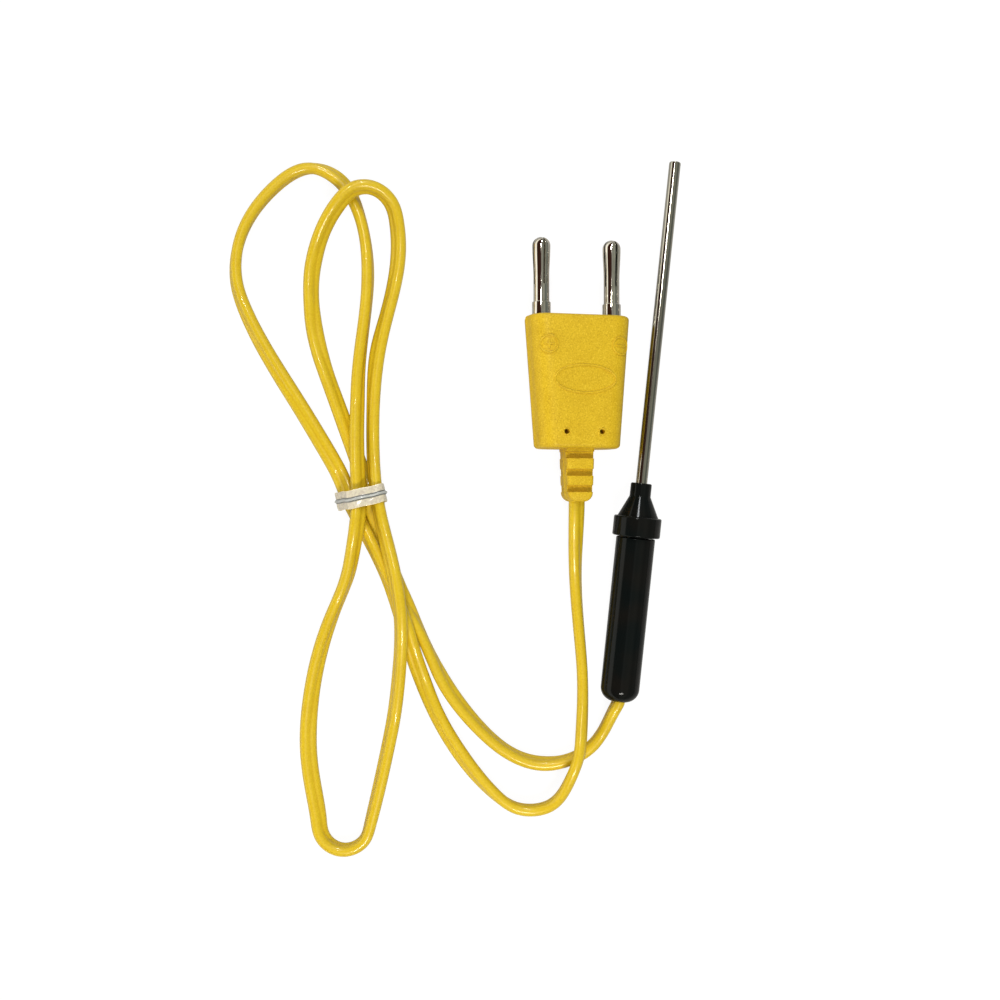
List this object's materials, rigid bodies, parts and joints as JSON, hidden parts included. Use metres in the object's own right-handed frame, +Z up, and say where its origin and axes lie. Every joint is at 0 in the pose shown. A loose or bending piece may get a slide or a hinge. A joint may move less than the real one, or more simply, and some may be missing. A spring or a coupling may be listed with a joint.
{
  "type": "temperature probe",
  "caption": "Hand-held temperature probe: thin closed metal sheath on a round handle, with a tied flat cord and a flat plug with split pins.",
  "frame": {"origin": "on the surface that the probe lies on, below the middle of the length from the handle's tail to the sheath's tip", "axes": "+Y along the probe towards its tip, +Z up, +X to the right when looking down with the tip away"},
  "size_m": [0.121, 0.1905, 0.0174],
  "materials": {
    "black_plastic": "polished, moulded",
    "stainless_steel": "drawn and polished",
    "insulator_ceramic": "fired, unglazed",
    "seal_resin": "cured resin",
    "nickel_alloy": "drawn wire",
    "brass": "bare",
    "yellow_insulation": "extruded",
    "red_insulation": "extruded",
    "yellow_jacket": "glossy, extruded",
    "tie_ribbon": "soft sheen over a wire",
    "yellow_moulding": "satin, moulded",
    "carrier_plastic": "moulded",
    "plated_brass": "bright nickel plating"
  },
  "bodies": {
    "root": {"handle_grip": "black_plastic", "handle_nose": "black_plastic", "probe_sheath": "stainless_steel", "sheath_ferrule": "stainless_steel", "handle_cord_clamp": "stainless_steel", "sheath_insulator": "insulator_ceramic", "sheath_end_seal": "seal_resin", "hot_junction_bead": "nickel_alloy", "positive_element_wire": "nickel_alloy", "negative_element_wire": "nickel_alloy", "positive_splice": "brass", "negative_splice": "brass", "handle_positive_lead": "yellow_insulation", "handle_negative_lead": "red_insulation", "cord": "yellow_jacket", "twist_tie": "tie_ribbon", "plug_body": "yellow_moulding", "plug_core": "carrier_plastic", "positive_pin": "plated_brass", "negative_pin": "plated_brass", "plug_positive_lead": "yellow_insulation", "plug_negative_lead": "red_insulation"}
  },
  "joints": []
}
